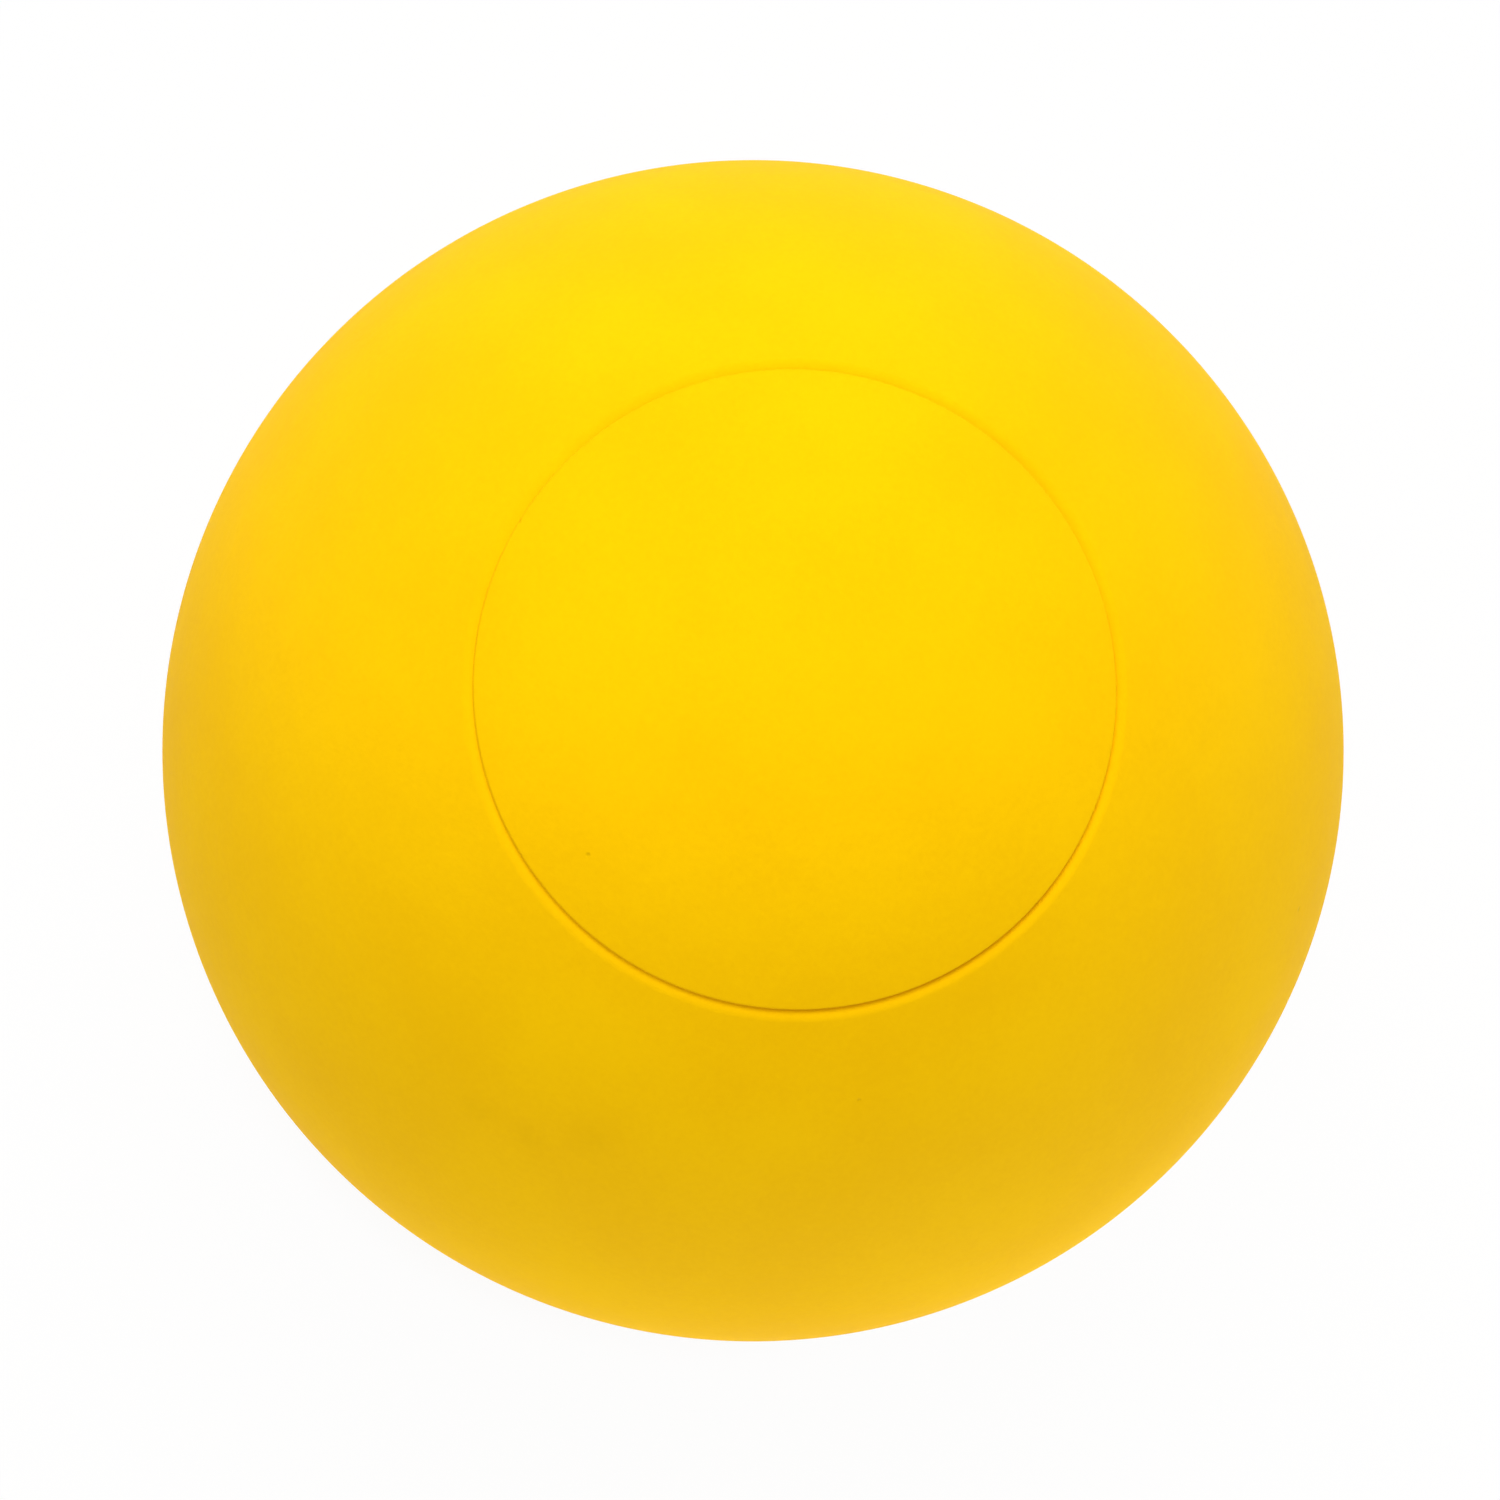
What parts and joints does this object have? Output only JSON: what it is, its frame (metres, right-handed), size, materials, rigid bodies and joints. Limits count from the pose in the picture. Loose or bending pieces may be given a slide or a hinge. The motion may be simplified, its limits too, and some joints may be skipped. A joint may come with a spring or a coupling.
{
  "type": "lacrosse ball",
  "caption": "Solid rubber lacrosse ball: a core in bonded half-shell covers, with a bare round imprint field edged by a fine groove.",
  "frame": {"origin": "centre of the ball", "axes": "+Z along the mould axis, out through the middle of the round imprint field; X and Y lie in the parting plane, where the covers meet"},
  "size_m": [0.0634, 0.0634, 0.0636],
  "materials": {
    "cover_rubber": "matte",
    "core_rubber": "matte"
  },
  "bodies": {
    "root": {"core": "core_rubber", "upper_cover": "cover_rubber", "lower_cover": "cover_rubber"}
  },
  "joints": []
}
